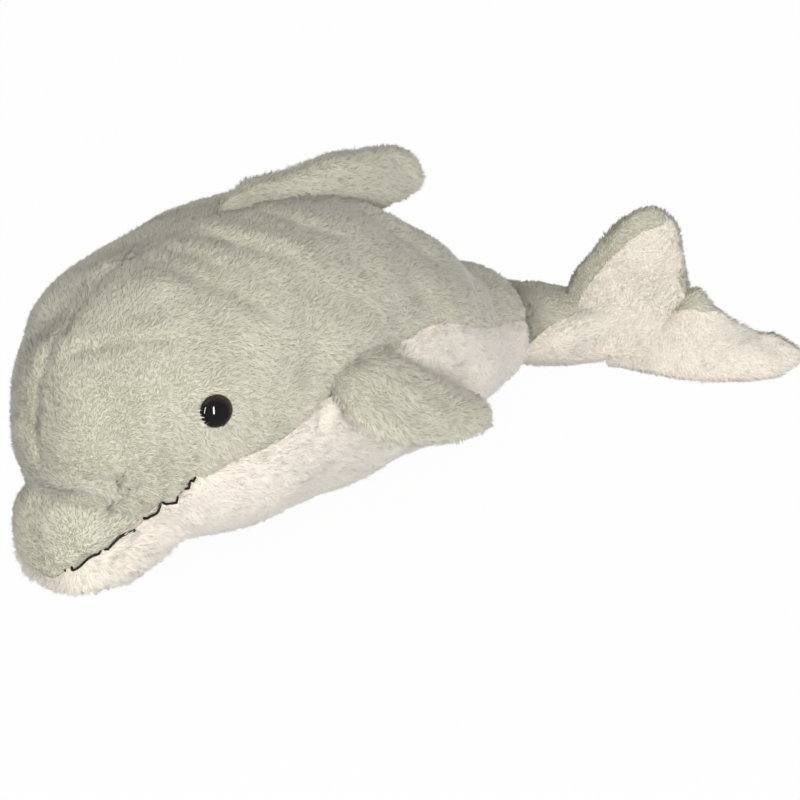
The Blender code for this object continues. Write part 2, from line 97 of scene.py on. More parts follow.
# padded pieces, root to tip: along, out and sideways of the front edge, then of the back edge
FIN = np.array([
    (-7.6, -2.0, 0.1, 5.4, -2.8, -0.2),
    (-6.6, -0.4, 0.0, 6.6, -1.4, -0.4),
    (-3.2, 1.0, -0.3, 8.6, -0.6, -0.6),
    (1.8, 2.3, -0.6, 10.2, -0.2, -0.8),
    (6.6, 3.3, -0.8, 11.2, 0.4, -0.9),
    (9.8, 3.4, -0.9, 12.0, 1.2, -1.0),
])
FLIPPER = np.array([
    (-2.6, -1.4, 0.4, 2.6, -1.8, 1.2),
    (-2.7, 0.0, -0.7, 3.2, -0.3, 0.6),
    (-1.9, 1.4, -2.6, 4.9, 0.4, -1.0),
    (0.6, 2.2, -4.3, 6.8, 1.0, -2.4),
    (4.2, 2.5, -5.3, 8.4, 1.5, -3.7),
    (8.0, 2.4, -6.0, 9.6, 2.0, -4.9),
])
FLUKE_STANDING = np.array([
    (-1.4, 1.8, 0.2, 7.0, 1.4, 0.9),
    (-1.1, 4.2, 0.1, 7.9, 4.2, 1.0),
    (-0.2, 7.2, 0.2, 7.8, 7.6, 0.9),
    (1.6, 10.0, 0.4, 7.2, 10.2, 0.8),
    (3.5, 12.5, 0.6, 6.6, 12.2, 0.7),
])
FLUKE_LYING = np.array([
    (2.4, 0.1, 0.9, 6.6, 3.6, 0.5),
    (6.2, 0.0, 2.8, 8.3, 6.1, 0.7),
    (10.0, 0.1, 3.8, 10.2, 5.1, 1.0),
    (13.4, 0.2, 3.5, 13.2, 3.4, 1.2),
    (16.9, 0.5, 2.3, 16.6, 2.2, 1.3),
])
# rows and angles where pieces sit on the body, or where a cut starts
EYE_ROW, EYE_ANGLE, DOME_DROP = 3.95, 13.0, 2.2
FIN_ROW = 7.0
FLIPPER_ROW, FLIPPER_ANGLE = 6.25, 0.0
TAIL_ROW = 14.5
BELLY_FROM = 2.55
JAW_FROM = 1.22
# thickness of the padded pieces, and x of the beak's tip, in metres
FIN_PAD, FLIPPER_PAD, FLUKE_PAD = 0.026, 0.023, 0.026
BEAK_TIP = -0.188


def read(rows, t):
    """Every column of the rows at places t, on a smooth curve through them."""
    last = len(rows) - 1
    t = np.clip(np.asarray(t, float), 0.0, last)
    i = np.minimum(t.astype(int), last - 1)
    f = (t - i)[..., None]
    a, b = rows[i], rows[i + 1]
    before = np.where((i > 0)[..., None], rows[np.maximum(i - 1, 0)], 2 * a - b)
    after = np.where((i + 2 <= last)[..., None], rows[np.minimum(i + 2, last)], 2 * b - a)
    da, db = (b - before) / 2, (after - a) / 2
    return ((2 * f**3 - 3 * f**2 + 1) * a + (f**3 - 2 * f**2 + f) * da
            + (3 * f**2 - 2 * f**3) * b + (f**3 - f**2) * db)


def smooth(x):
    """A step from 0 to 1 without corners."""
    x = np.clip(x, 0, 1)
    return x * x * (3 - 2 * x)


def body_at(t, angle):
    """The drawn body at a row and an angle: 0 is the left flank, 90 the back."""
    x, y, turn, roll, half, height, low, _ = np.moveaxis(read(BODY, t), -1, 0)
    turn, roll, a = np.radians(turn), np.radians(roll), np.radians(angle)
    half, rise = np.maximum(half, 0) / 100, np.maximum(height, 0) / 200
    across, over = half * np.cos(a), rise * np.sin(a)
    side = across * np.cos(roll) - over * np.sin(roll)
    up = across * np.sin(roll) + over * np.cos(roll)
    middle = low / 100 + np.hypot(half * np.sin(roll), rise * np.cos(roll))
    return np.stack([x / 100 - side * np.sin(turn), y / 100 - side * np.cos(turn),
                     np.maximum(middle + up, 0.0)], -1)


# the stitched corner of the mouth on the cheek, as (row, angle)
CHEEK = np.array([(3.06, -45), (3.13, -40), (3.19, -38), (3.23, -34), (3.27, -30.5), (3.36, -30),
                  (3.45, -29.5), (3.55, -26), (3.58, -21), (3.61, -18.5), (3.67, -17)])


def body_seam(t):
    """Angle of the left side seam: it follows the mouth's corner and dips at two places."""
    seam = read(BODY, t)[..., 7] - 20 * np.exp(-((t - 12.95) / 0.6) ** 2)
    seam = seam - 10 * np.exp(-((t - 8.9) / 0.9) ** 2)
    corner = smooth((t - 2.85) / 0.25) * (1 - smooth((t - 3.67) / 0.33))
    return seam + corner * (np.interp(t, CHEEK[:, 0], CHEEK[:, 1]) - seam)


def beak_at(t, angle):
    """The drawn beak at a row and an angle, as on the body."""
    x, half, low, top, _ = np.moveaxis(read(BEAK, t), -1, 0) / 100
    a = np.radians(angle)
    half, top = np.maximum(half, 0), np.maximum(top, low)
    up = (top + low) / 2 + (top - low) / 2 * np.sin(a)
    return np.stack([BEAK_TIP + x, -half * np.cos(a), np.maximum(up, 0.0)], -1)


def mouth_seam(t):
    """Angle of the seam between the beak's top and the lower jaw, on the left."""
    _, _, low, top, mouth = np.moveaxis(read(BEAK, t), -1, 0)
    rise = np.maximum((top - low) / 2, 1e-4)
    angle = np.degrees(np.arcsin(np.clip((mouth - (top + low) / 2) / rise, -0.98, 0.98)))
    angle = angle + 2.0 * np.sin(t * 5.2) * smooth((t - 1.9) / 0.5)
    return -90 + (angle + 90) * smooth((t - JAW_FROM) / 0.45)


def frame_on_body(t, angle):
    """A place on the body with its directions: towards the tail, outwards and sideways."""
    here = body_at(t, angle)
    back = body_at(t + 0.01, angle) - body_at(t - 0.01, angle)
    up = body_at(t, angle + 1) - body_at(t, angle - 1)
    back /= np.linalg.norm(back)
    out = np.cross(back, up)
    out /= np.linalg.norm(out)
    return here, back, out, np.cross(out, back)


def pad_at(rows, frame_here, pad, mirror=1, floor=None):
    """The surface of a padded leaf, closed round at its tip."""
    origin, along, out, side = (np.array(v) for v in frame_here)
    last = len(rows) - 1

    def edges(t):
        v = read(rows, t)[..., None] / 100
        return (origin + along * v[..., 0, :] + out * v[..., 1, :] + side * (v[..., 2, :] * mirror),
                origin + along * v[..., 3, :] + out * v[..., 4, :] + side * (v[..., 5, :] * mirror))

    def at(t, angle):
        t, angle = np.broadcast_arrays(np.asarray(t, float), np.asarray(angle, float))
        front, back = edges(t)
        f2, b2 = edges(np.minimum(t + 0.05, last))
        f1, b1 = edges(np.maximum(t - 0.05, 0.0))
        chord, span = back - front, (f2 + b2 - f1 - b1) / 2
        thick = np.cross(chord, span)
        thick /= np.linalg.norm(thick, axis=-1, keepdims=True)
        start = last - 0.9
        close = np.where(t > start, np.sqrt(np.clip(1 - ((t - start) / 0.9) ** 2, 0, 1)), 1.0)
        swell = 0.78 + 0.22 * np.sin(np.pi * np.minimum(t / last, 1.0))
        a = np.radians(angle)
        lift = np.copysign(np.abs(np.sin(a)) ** 0.7, np.sin(a))
        p = ((front + back) / 2 + chord / 2 * (close * np.cos(a))[..., None]
             + thick * (pad / 2 * swell * close * lift)[..., None])
        if floor is not None:
            p[..., 2] = np.maximum(p[..., 2], floor)
        return p

    return at


# soft unevenness of the filling
def waves(p, size, seed, count=9):
    """A smooth wandering value between about -1 and 1, with humps of the given size."""
    rng = np.random.default_rng(seed)
    way = rng.normal(size=(count, 3))
    way /= np.linalg.norm(way, axis=1)[:, None]
    stretch = rng.uniform(0.6, 1.5, count)
    phase = rng.uniform(0, 2 * np.pi, count)
    return np.sin(p @ (way * stretch[:, None]).T * (np.pi / size) + phase).sum(-1) / math.sqrt(count)


def near_line(p, line, width):
    """1 on a polyline of points, falling smoothly to 0 at the width."""
    line = np.asarray(line, float)
    best = np.full(p.shape[:-1], 1e9)
    for a, b in zip(line[:-1], line[1:]):
        d = b - a
        s = np.clip(((p - a) @ d) / (d @ d), 0, 1)
        best = np.minimum(best, np.linalg.norm(p - a - s[..., None] * d, axis=-1))
    return np.exp(-(best / width) ** 2)


class Skin:
    """One cut of plush as a fine grid of points."""

    def __init__(self, name, points, slot, nodes):
        self.name, self.slot, self.nodes = name, slot, nodes
        self.points, self.flip = points, False

    def normals(self):
        p = self.points
        du = np.gradient(p, axis=0)
        dv = np.gradient(p, axis=1)
        n = np.cross(du, dv)
        size = np.linalg.norm(n, axis=-1, keepdims=True)
        n = n / np.maximum(size, 1e-12)
        # a pole has no size of its own and takes its neighbour's normal
        for row, inner in ((0, 1), (-1, -2)):
            if size[row].max() < 1e-9:
                n[row] = n[inner].mean(0) / np.linalg.norm(n[inner].mean(0))
        return -n if self.flip else n

    def push(self, amount):
        self.points = self.points + self.normals() * amount[..., None]
        self.points[..., 2] = np.maximum(self.points[..., 2], CLOTH_LOW)


def grid(at, t0, t1, rows, lo, hi, columns):
    """Points of a form between two rows, and between two angles that may change along it."""
    t = np.linspace(t0, t1, rows)
    low, high = (np.broadcast_to(f(t) if callable(f) else f, t.shape) for f in (lo, hi))
    share = np.linspace(0, 1, columns)
    angle = low[:, None] + (high - low)[:, None] * share
    return at(np.broadcast_to(t[:, None], angle.shape), angle)


def body_low(t):
    """Angle where the left back cut ends: the middle under the snout, then the side seam."""
    return np.where(t < BELLY_FROM, -90.0, body_seam(t))


BODY_LAST, BEAK_LAST = len(BODY) - 1, len(BEAK) - 1
fin_at = pad_at(FIN, frame_on_body(FIN_ROW, 90.0), FIN_PAD)
flipper_left_at = pad_at(FLIPPER, frame_on_body(FLIPPER_ROW, FLIPPER_ANGLE), FLIPPER_PAD)
flipper_right_at = pad_at(FLIPPER, frame_on_body(FLIPPER_ROW, 180.0 - FLIPPER_ANGLE), FLIPPER_PAD, -1)
tail = read(BODY, TAIL_ROW)
turn = math.radians(tail[2])
tail_frame = ((tail[0] / 100, tail[1] / 100, 0.0), (math.cos(turn), -math.sin(turn), 0.0),
              (0.0, 0.0, 1.0), (-math.sin(turn), -math.cos(turn), 0.0))
standing_at = pad_at(FLUKE_STANDING, tail_frame, FLUKE_PAD, 1, 0.0)
lying_at = pad_at(FLUKE_LYING, tail_frame, FLUKE_PAD, 1, 0.0)


def along_seam(at, t0, t1, angle, count=60):
    """Points of a seam that runs along a form."""
    t = np.linspace(t0, t1, count)
    return at(t, angle(t) if callable(angle) else np.full(count, float(angle)))


SEAMS = {
    "spine": along_seam(body_at, 0.0, BODY_LAST, 90),
    "left": along_seam(body_at, BELLY_FROM, BODY_LAST, body_seam),
    "right": along_seam(body_at, BELLY_FROM, BODY_LAST, lambda t: 180 - body_seam(t)),
    "mouth_left": along_seam(beak_at, JAW_FROM, BEAK_LAST, mouth_seam),
    "mouth_right": along_seam(beak_at, JAW_FROM, BEAK_LAST, lambda t: 180 - mouth_seam(t)),
}


def on_body(*spots):
    """A line over the body through (row, angle) spots."""
    t, angle = np.array(spots, float).T
    return body_at(t, angle)


# puckers and folds of the cloth: a line, how far it stands out (in, below zero), and its half width
FOLDS = [
    (on_body((2.20, 71), (2.67, 58), (3.14, 49), (3.62, 43)), -0.0028, 0.0030),
    (on_body((2.18, 79), (2.67, 66), (3.14, 56), (3.62, 49)), 0.0014, 0.0065),
    (on_body((4.05, 96), (4.17, 73), (4.39, 59), (4.68, 49), (4.98, 40)), -0.0019, 0.0065),
    (on_body((4.55, 92), (4.65, 83), (4.95, 65)), 0.0021, 0.0055),
    (on_body((4.38, 92), (4.47, 78), (4.75, 60)), -0.0012, 0.0045),
    (on_body((5.10, 82), (5.45, 66), (5.95, 54)), 0.0022, 0.0060),
    (on_body((4.98, 78), (5.28, 62), (5.75, 50)), -0.0013, 0.0045),
    (on_body((6.10, 74), (6.35, 61), (6.70, 52)), -0.0016, 0.0045),
    (on_body((7.40, 70), (7.80, 52), (8.30, 40)), -0.0016, 0.0060),
    (on_body((7.75, 72), (8.20, 56), (8.75, 44)), 0.0018, 0.0070),
    (on_body((2.20, 41), (2.26, 30), (2.34, 19)), -0.0009, 0.0032),
    (on_body((1.70, -20), (1.92, -18), (2.36, -19), (2.70, -25)), -0.0034, 0.0034),
    (on_body((0.94, -75), (1.16, -45), (1.67, -32), (2.13, -36), (2.45, -42)), -0.0030, 0.0050),
    (on_body((1.00, -40), (1.45, -26), (1.75, -25)), 0.0022, 0.0060),
    (on_body((3.30, -20), (3.55, -12), (3.85, -9)), -0.0012, 0.0050),
    (on_body((5.30, 8), (5.55, 14), (5.70, 22)), -0.0016, 0.0060),
    (on_body((6.90, 16), (7.20, 22), (7.60, 24)), -0.0018, 0.0060),
    (on_body((5.45, -16), (5.62, -6), (5.85, 4), (6.3, 9), (6.8, 9), (7.1, 5)), -0.0034, 0.0040),
    (on_body((9.60, 60), (10.2, 48), (10.8, 30)), -0.0022, 0.0060),
    (on_body((4.75, 97), (5.15, 98), (5.55, 98)), -0.0072, 0.0280),
    (on_body((2.75, 104), (3.05, 104)), -0.0042, 0.0180),
    (on_body((3.66, 13), (3.70, 7), (3.84, 4.2), (4.02, 3.8)), 0.0022, 0.0032),
    (on_body((11.3, 70), (11.5, 50), (11.6, 25)), -0.0022, 0.0050),
]


# painted shade, with some pressed pile, that darkens the grey pile along creases: a line, how much, and
# its half width
CREASE_SHADE = [
    (on_body((12.6, 80), (12.7, 40), (12.75, 10), (12.8, -20), (12.9, -55), (13.0, -80)), 0.42, 0.0110),
    (on_body((13.2, 60), (13.3, 20), (13.35, -10), (13.3, -40)), 0.24, 0.0090),
    (on_body((13.9, 40), (14.0, 10), (14.0, -20)), 0.08, 0.0080),
    (on_body((5.45, -16), (5.62, -6), (5.85, 4), (6.3, 9), (6.8, 9), (7.1, 5)), 0.22, 0.0050),
    (on_body((0.94, -75), (1.16, -45), (1.67, -32), (2.13, -36), (2.45, -42)), 0.20, 0.0060),
    (on_body((1.70, -20), (1.92, -18), (2.36, -19)), 0.20, 0.0030),
    (on_body((5.2, 90), (6.2, 82), (7.0, 78), (7.9, 76), (8.6, 80)), 0.20, 0.0050),
    (on_body((2.20, 71), (2.67, 58), (3.14, 49), (3.62, 43)), 0.10, 0.0030),
    (on_body((4.05, 96), (4.17, 73), (4.39, 59), (4.68, 49), (4.98, 40)), 0.08, 0.0050),
    (on_body((0.3, 90), (0.9, 90), (1.6, 90), (2.3, 90), (3.0, 90)), 0.08, 0.0025),
]


def puckers(p, line, depth, width, pitch=0.011):
    """A sewn seam: a valley with small gathers across it."""
    close = near_line(p, line, width)
    gathers = waves(p, pitch, 41, 7) * near_line(p, line, width * 2.2)
    return -depth * close + 0.0007 * gathers


def body_relief(p):
    """How far the stuffed cloth stands out or in from the drawn form."""
    out = 0.0018 * waves(p, 0.060, 3) + 0.0010 * waves(p, 0.027, 5) + 0.0004 * waves(p, 0.013, 6)
    for line, depth, width in (("spine", 0.0022, 0.0045), ("left", 0.0024, 0.0050),
                               ("right", 0.0024, 0.0050)):
        out = out + puckers(p, SEAMS[line], depth, width)
    for line, amount, width in FOLDS:
        out = out + amount * near_line(p, line, width)
    stem = smooth((p[..., 0] - 0.262) / 0.02) * smooth((-0.010 - p[..., 1]) / 0.022)
    return out - 0.0045 * stem * smooth((p[..., 2] - 0.006) / 0.016)


def beak_relief(p):
    """The same for the beak, with the mouth's puckers."""
    out = 0.0011 * waves(p, 0.035, 7) + 0.0005 * waves(p, 0.014, 8)
    for line in ("mouth_left", "mouth_right"):
        out = out + puckers(p, SEAMS[line], 0.0026, 0.0048)
    return out


def jaw_relief(p):
    """The lower jaw is stuffed fuller towards the floor."""
    back = smooth((p[..., 0] - BEAK_TIP - 0.004) / 0.014)
    return beak_relief(p) + 0.0042 * smooth((0.022 - p[..., 2]) / 0.016) * back


def pad_relief(p):
    """The same for the fin, the flippers and the flukes."""
    return 0.0013 * waves(p, 0.032, 11) + 0.0005 * waves(p, 0.013, 12)


def standing_under_relief(p):
    """The cream face swells down to the tail's stem, so no crease shows between them."""
    share = np.linspace(0, 1, p.shape[1])
    low = smooth((0.052 - p[..., 2]) / 0.034)
    return pad_relief(p) + 0.0075 * low * np.sin(np.pi * share) ** 0.6


def lying_relief(p):
    """The lying fluke dips along its upper edge."""
    return pad_relief(p) - 0.0045 * near_line(p, lying_at([2.1, 2.45, 2.8], [10, 4, 0]), 0.012)


SUNK = 0.0024          # the cloth lies this far under the drawn form, which its pile reaches
SUNK_BELOW = 0.45      # the share of that for the belly and the lower jaw
CLOTH_LOW = 0.0005     # no cloth comes nearer to the floor
SKINS = []


def add_skin(name, at, span, low, high, slot, nodes, relief, rows, columns):
    """Lays one cut over its form, turns it outwards and pushes its relief into it."""
    s = Skin(name, grid(at, span[0], span[1], rows, low, high, columns), slot, nodes)
    p, n = s.points, s.normals()
    bulge = p - (p[:, :1] + p[:, -1:]) / 2
    s.flip = float((n * bulge).sum()) < 0
    s.push(relief(p) - SUNK * (SUNK_BELOW if name in ("belly", "lower_jaw") else 1))
    SKINS.append(s)


add_skin("back_left", body_at, (0, BODY_LAST), body_low, 90, "grey_plush", ["back_left"],
         body_relief, 231, 71)
add_skin("back_right", body_at, (0, BODY_LAST), 90, lambda t: 180 - body_low(t), "grey_plush",
         ["back_right"], body_relief, 231, 71)
add_skin("belly", body_at, (BELLY_FROM, BODY_LAST), lambda t: -180 - body_seam(t), body_seam,
         "cream_plush", ["belly", "body_filling"], body_relief, 201, 111)
add_skin("beak_top", beak_at, (0, BEAK_LAST), mouth_seam, lambda t: 180 - mouth_seam(t),
         "grey_plush", ["beak_top", "beak_filling"], beak_relief, 51, 81)
add_skin("lower_jaw", beak_at, (JAW_FROM, BEAK_LAST), lambda t: -180 - mouth_seam(t), mouth_seam,
         "cream_plush", ["lower_jaw"], jaw_relief, 51, 71)
# where each fluke's grey cloth laps round the edge over its cream face: rows, angles
STANDING_RIM = ((0, 1, 1.25, 1.5, 2, 2.5, 3, 3.3, 3.6, 3.8, 4),
                (150, 147, 140, 137, 128, 120, 106, 90, 34, 6, 0))
LYING_LAP = ((0, 1, 1.5, 2, 2.5, 3, 3.5, 4),
             (58, 58, 55, 38, 38, 38, 42, 42))
for name, at, last, slots, filling in (
        ("dorsal_fin", fin_at, len(FIN) - 1, ("left grey", "right grey"), 0),
        ("flipper_left", flipper_left_at, len(FLIPPER) - 1, ("under cream", "upper grey"), 0),
        ("flipper_right", flipper_right_at, len(FLIPPER) - 1, ("upper grey", "under cream"), 1),
        ("fluke_left", standing_at, len(FLUKE_STANDING) - 1, ("under cream", "upper grey"), 0),
        ("fluke_right", lying_at, len(FLUKE_LYING) - 1, ("upper grey", "under cream"), 0)):
    bounds = ((0, 180), (180, 360))
    if name == "fluke_left":
        rim = lambda t: np.interp(t, *STANDING_RIM)
        rear = lambda t: 34 * np.exp(-((t - 1.9) / 0.45) ** 2)
        bounds = ((rear, rim), (rim, lambda t: 360 + rear(t)))
    if name == "fluke_right":
        front = lambda t: -np.interp(t, *LYING_LAP)
        bounds = ((front, 180), (180, lambda t: 360 + front(t)))
    for k, (side, (lo, hi)) in enumerate(zip(slots, bounds)):
        word, colour = side.split()
        cut = name + "_" + word
        relief = {"fluke_left_under": standing_under_relief, "fluke_right_upper": lying_relief,
                  "fluke_right_under": lying_relief}.get(cut, pad_relief)
        add_skin(cut, at, (0, last), lo, hi, colour + "_plush",
                 [cut] + ([name + "_filling"] if k == filling else []), relief, 66, 51)


# materials
def shader_of(name, roughness, **sockets):
    """A material with its shader and node tree, and some of the shader's sockets set."""
    mat = bpy.data.materials.new(name)
    mat.use_nodes = True
    shader = mat.node_tree.nodes["Principled BSDF"]
    shader.inputs["Roughness"].default_value = roughness
    for socket, value in sockets.items():
        shader.inputs[socket.replace("_", " ")].default_value = value
    return mat, shader, mat.node_tree


def node(tree, kind, **values):
    """A new node, its settings or input values given by name."""
    made = tree.nodes.new(kind)
    for key, value in values.items():
        if hasattr(made, key):
            setattr(made, key, value)
        else:
            made.inputs[key.replace("_", " ")].default_value = value
    return made


def pile_material(name, root, body, tip, patch):
    """Pile: dark at the root as painted shade, paler at the tip, each lock with its own tone, in faint
    patches.
    """
    mat, shader, tree = shader_of(name, 0.85, Sheen_Weight=0.25, Sheen_Roughness=0.45,
                                  Specular_IOR_Level=0.2)
    along = node(tree, "ShaderNodeAttribute", attribute_name="along")
    ramp = node(tree, "ShaderNodeValToRGB")
    stops = ramp.color_ramp.elements
    stops[0].color, stops[1].color = (*root, 1), (*tip, 1)
    stops.new(0.45).color = (*body, 1)
    tree.links.new(along.outputs["Fac"], ramp.inputs["Fac"])
    tone = node(tree, "ShaderNodeAttribute", attribute_name="tone")
    place = node(tree, "ShaderNodeTexCoord")
    cloud = node(tree, "ShaderNodeTexNoise", Scale=26.0, Detail=6.0, Roughness=0.72)
    tree.links.new(place.outputs["Object"], cloud.inputs["Vector"])
    both = node(tree, "ShaderNodeMath", operation="MULTIPLY_ADD")
    both.inputs[1].default_value = patch
    tree.links.new(cloud.outputs["Fac"], both.inputs[0])
    tree.links.new(tone.outputs["Fac"], both.inputs[2])
    shade = node(tree, "ShaderNodeHueSaturation")
    tree.links.new(both.outputs[0], shade.inputs["Value"])
    tree.links.new(ramp.outputs["Color"], shade.inputs["Color"])
    tree.links.new(shade.outputs["Color"], shader.inputs["Base Color"])
    return mat


def speckle(shader, tree, scale, detail, dark, light):
    """Colours a shader with a fine noise between two colours, and gives the noise back."""
    place = node(tree, "ShaderNodeTexCoord")
    noise = node(tree, "ShaderNodeTexNoise", Scale=scale, Detail=detail)
    tree.links.new(place.outputs["Object"], noise.inputs["Vector"])
    ramp = node(tree, "ShaderNodeValToRGB")
    ramp.color_ramp.elements[0].color = (*dark, 1)
    ramp.color_ramp.elements[1].color = (*light, 1)
    tree.links.new(noise.outputs["Fac"], ramp.inputs["Fac"])
    tree.links.new(ramp.outputs["Color"], shader.inputs["Base Color"])
    return noise


def backing_material(name, colour):
    """The knitted ground of the plush, seen only between locks of pile, darkened as painted shade
    between them.
    """
    mat, shader, tree = shader_of(name, 0.95, Sheen_Weight=0.2, Specular_IOR_Level=0.1)
    knit = speckle(shader, tree, 620.0, 2.0, [c * 0.72 for c in colour], colour)
    bump = node(tree, "ShaderNodeBump", Strength=0.6, Distance=0.0008)
    tree.links.new(knit.outputs["Fac"], bump.inputs["Height"])
    tree.links.new(bump.outputs["Normal"], shader.inputs["Normal"])
    return mat


# each pile runs from a root colour, darkened as painted shade between the hairs, through its body to
# its tip
PILE = {
    "grey_plush": pile_material("grey pile", (0.42, 0.405, 0.32), (0.622, 0.602, 0.494),
                                (0.752, 0.732, 0.617), 0.18),
    "cream_plush": pile_material("cream pile", (0.76, 0.66, 0.54), (0.915, 0.85, 0.75),
                                 (0.97, 0.93, 0.86), 0.12),
}
# the backing is about as dark as the painted shade at the pile's roots
BACKING = {
    "grey_plush": backing_material("grey backing", (0.46, 0.445, 0.34)),
    "cream_plush": backing_material("cream backing", (0.82, 0.74, 0.63)),
}


# covers
WALL = 0.0012          # thickness of the cloth without its pile


def link_mesh(name, mesh, mat, slot):
    """Puts a mesh in the scene as a piece of the toy."""
    obj = bpy.data.objects.new(name, mesh)
    bpy.context.scene.collection.objects.link(obj)
    mesh.materials.append(mat)
    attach(obj, "root")
    return obj


def grid_faces(rows, columns):
    """The four sided faces of a grid of points."""
    i, j = np.meshgrid(np.arange(rows - 1), np.arange(columns - 1), indexing="ij")
    a = (i * columns + j).ravel()
    return np.stack([a, a + columns, a + columns + 1, a + 1], 1)


def make_cover(skin):
    """The cloth of one cut, with a wall."""
    rows, columns = skin.points.shape[:2]
    faces = grid_faces(rows, columns)
    if skin.flip:
        faces = faces[:, ::-1]
    mesh = bpy.data.meshes.new(skin.name + "_cover")
    mesh.from_pydata(skin.points.reshape(-1, 3).tolist(), [], faces.tolist())
    cover = link_mesh(skin.name + "_cover", mesh, BACKING[skin.slot], skin.slot)
    bpy.context.view_layer.objects.active = cover
    cover.select_set(True)
    weld = cover.modifiers.new("weld", "WELD")
    weld.merge_threshold = 1e-5
    wall = cover.modifiers.new("wall", "SOLIDIFY")
    wall.thickness, wall.offset = WALL, -1
    for modifier in ("weld", "wall"):
        bpy.ops.object.modifier_apply(modifier=modifier)
    cover.select_set(False)
    mesh.shade_smooth()
    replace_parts(cover, *skin.nodes)


# pile
def form_tree(at, last, rows, columns):
    """A closed form, and the sign of its normals, to test which hairs are buried in it."""
    p = grid(at, 0, last, rows, 0.0, 360.0, columns)
    faces = grid_faces(rows, columns)
    tree = BVHTree.FromPolygons([Vector(v) for v in p.reshape(-1, 3)], faces.tolist())
    middle = p.mean(1)
    n = np.cross(np.gradient(p, axis=0), np.gradient(p, axis=1))
    sign = 1.0 if float((n * (p - middle[:, None])).sum()) > 0 else -1.0
    return tree, -sign


def buried(points, form, margin):
    """Which points lie deeper than the margin in a form."""
    tree, sign = form
    out = np.zeros(len(points), bool)
    for i, p in enumerate(points):
        near, normal, _, _ = tree.find_nearest(p, 0.06)
        if near is not None:
            out[i] = (Vector(p) - near).dot(normal) * sign > margin
    return out


FORMS = {
    "body": form_tree(body_at, BODY_LAST, 120, 60),
    "beak": form_tree(beak_at, BEAK_LAST, 30, 50),
    "standing": form_tree(standing_at, len(FLUKE_STANDING) - 1, 30, 40),
}

stem_frames = {side: frame_on_body(EYE_ROW, a)
               for side, a in (("left", EYE_ANGLE), ("right", 180 - EYE_ANGLE))}
# the dome sits a little lower than its stem
eye_frames = {side: frame_on_body(EYE_ROW, a)
              for side, a in (("left", EYE_ANGLE - DOME_DROP), ("right", 180 - EYE_ANGLE + DOME_DROP))}
EYE_RADIUS = 0.0100
DENSITY = 1.25e6          # hairs to a square metre
MOST = 49000                                        # hairs in one mesh
BURIED, BURIED_FLUKE = 0.0055, 0.0095               # deeper than this in another form, no hair grows
PILE_LOW = 0.0006                                   # no tip comes nearer to the floor
STRAY = 0.025                                       # share of hairs that stand out of their lock
DARK_LOCKS, DARKER = 0.06, 0.20                     # share of locks that are darker, and by how much
# painted light: the pile of these cuts is made paler by this much, where it takes less light
PAINTED_LIGHT = {"beak_top": 0.17, "lower_jaw": 0.03, "belly": 0.02}
TONE_MIDDLE = 0.065                                 # taken off, as the material's patches only add
SOFT = 0.84            # how much a hair takes its light from the cloth it stands on
# cuts whose ends are buried in another form
HIDDEN_IN = {"back_left": ("beak",), "back_right": ("beak",), "belly": ("beak",),
             "beak_top": ("body",), "lower_jaw": ("body",), "dorsal_fin": ("body",),
             "flipper": ("body",), "fluke_left": ("body",), "fluke_right": ("body", "standing")}
# length, lean from upright, width at the root, hairs to a lock, least and most pull to its tip
NAP = {"back": (0.0034, 49, 0.00039, 5, 0.08, 0.32), "belly": (0.0041, 48, 0.00038, 7, 0.10, 0.38),
       "beak": (0.0034, 50, 0.00039, 5, 0.06, 0.26), "lower": (0.0047, 45, 0.00038, 9, 0.15, 0.46),
       "dorsal": (0.0040, 50, 0.00038, 7, 0.10, 0.40), "flipper": (0.0041, 48, 0.00038, 8, 0.12, 0.42),
       "fluke": (0.0037, 50, 0.00039, 6, 0.08, 0.34)}


def unit(v):
    """Vectors scaled to length 1."""
    return v / np.maximum(np.linalg.norm(v, axis=-1, keepdims=True), 1e-9)


def combed(skin, root, flow):
    """The way the nap runs: along the cut, but upwards over the forehead and the snout."""
    comb = unit(flow)
    if skin.name.startswith("back"):
        up = smooth((-0.135 - root[:, :1]) / 0.035)
        comb = comb * (1 - up) + np.array([0.35, 0.0, 0.95]) * up
        return comb + np.array([0.0, 0.0, -0.40]) * (1 - up)
    if skin.name == "beak_top":
        return comb * 0.25 + np.array([0.55, 0.0, 0.85])
    if skin.name == "lower_jaw":
        return np.array([0.8, 0.0, -0.6]) + comb * 0.3
    return comb + np.array([0.0, 0.0, -0.35])


